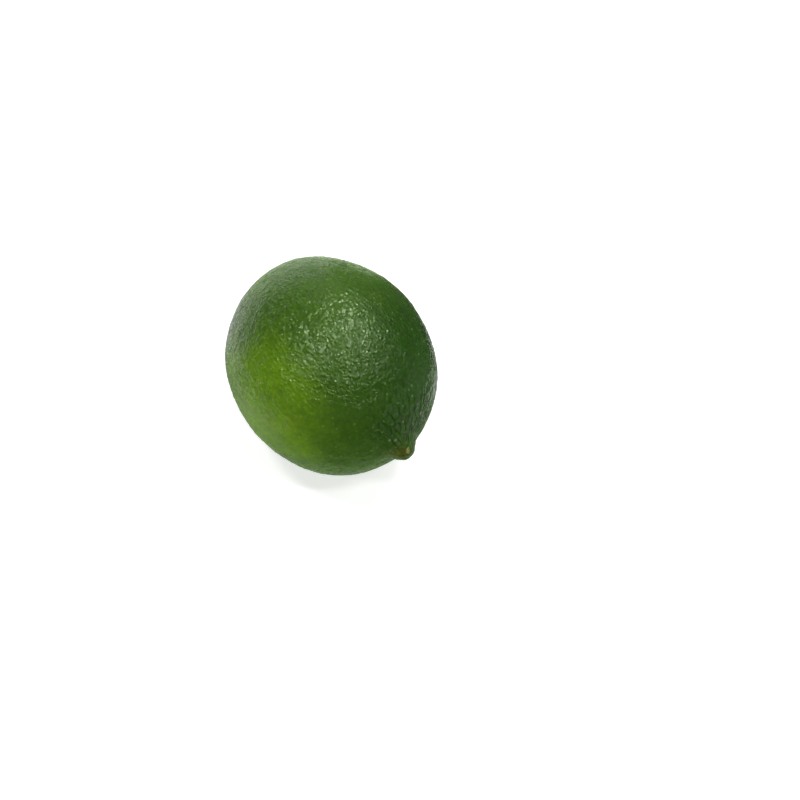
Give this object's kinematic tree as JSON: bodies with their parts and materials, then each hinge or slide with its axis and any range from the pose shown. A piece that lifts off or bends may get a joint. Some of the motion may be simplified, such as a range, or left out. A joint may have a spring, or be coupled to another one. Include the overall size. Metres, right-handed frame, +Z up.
{
  "type": "lime",
  "caption": "Whole green lime, an oval citrus fruit with a low nipple at one end and a stem scar at the other, lying on its side.",
  "frame": {"origin": "on the surface that the lime rests on, under the middle of its bounding box", "axes": "+X along the long axis towards the nipple, with the stem end at -X; +Z up"},
  "size_m": [0.0604, 0.0506, 0.0498],
  "materials": {
    "rind": "waxy pebbled green rind, half gloss"
  },
  "bodies": {
    "root": {"lime": "rind"}
  },
  "joints": []
}
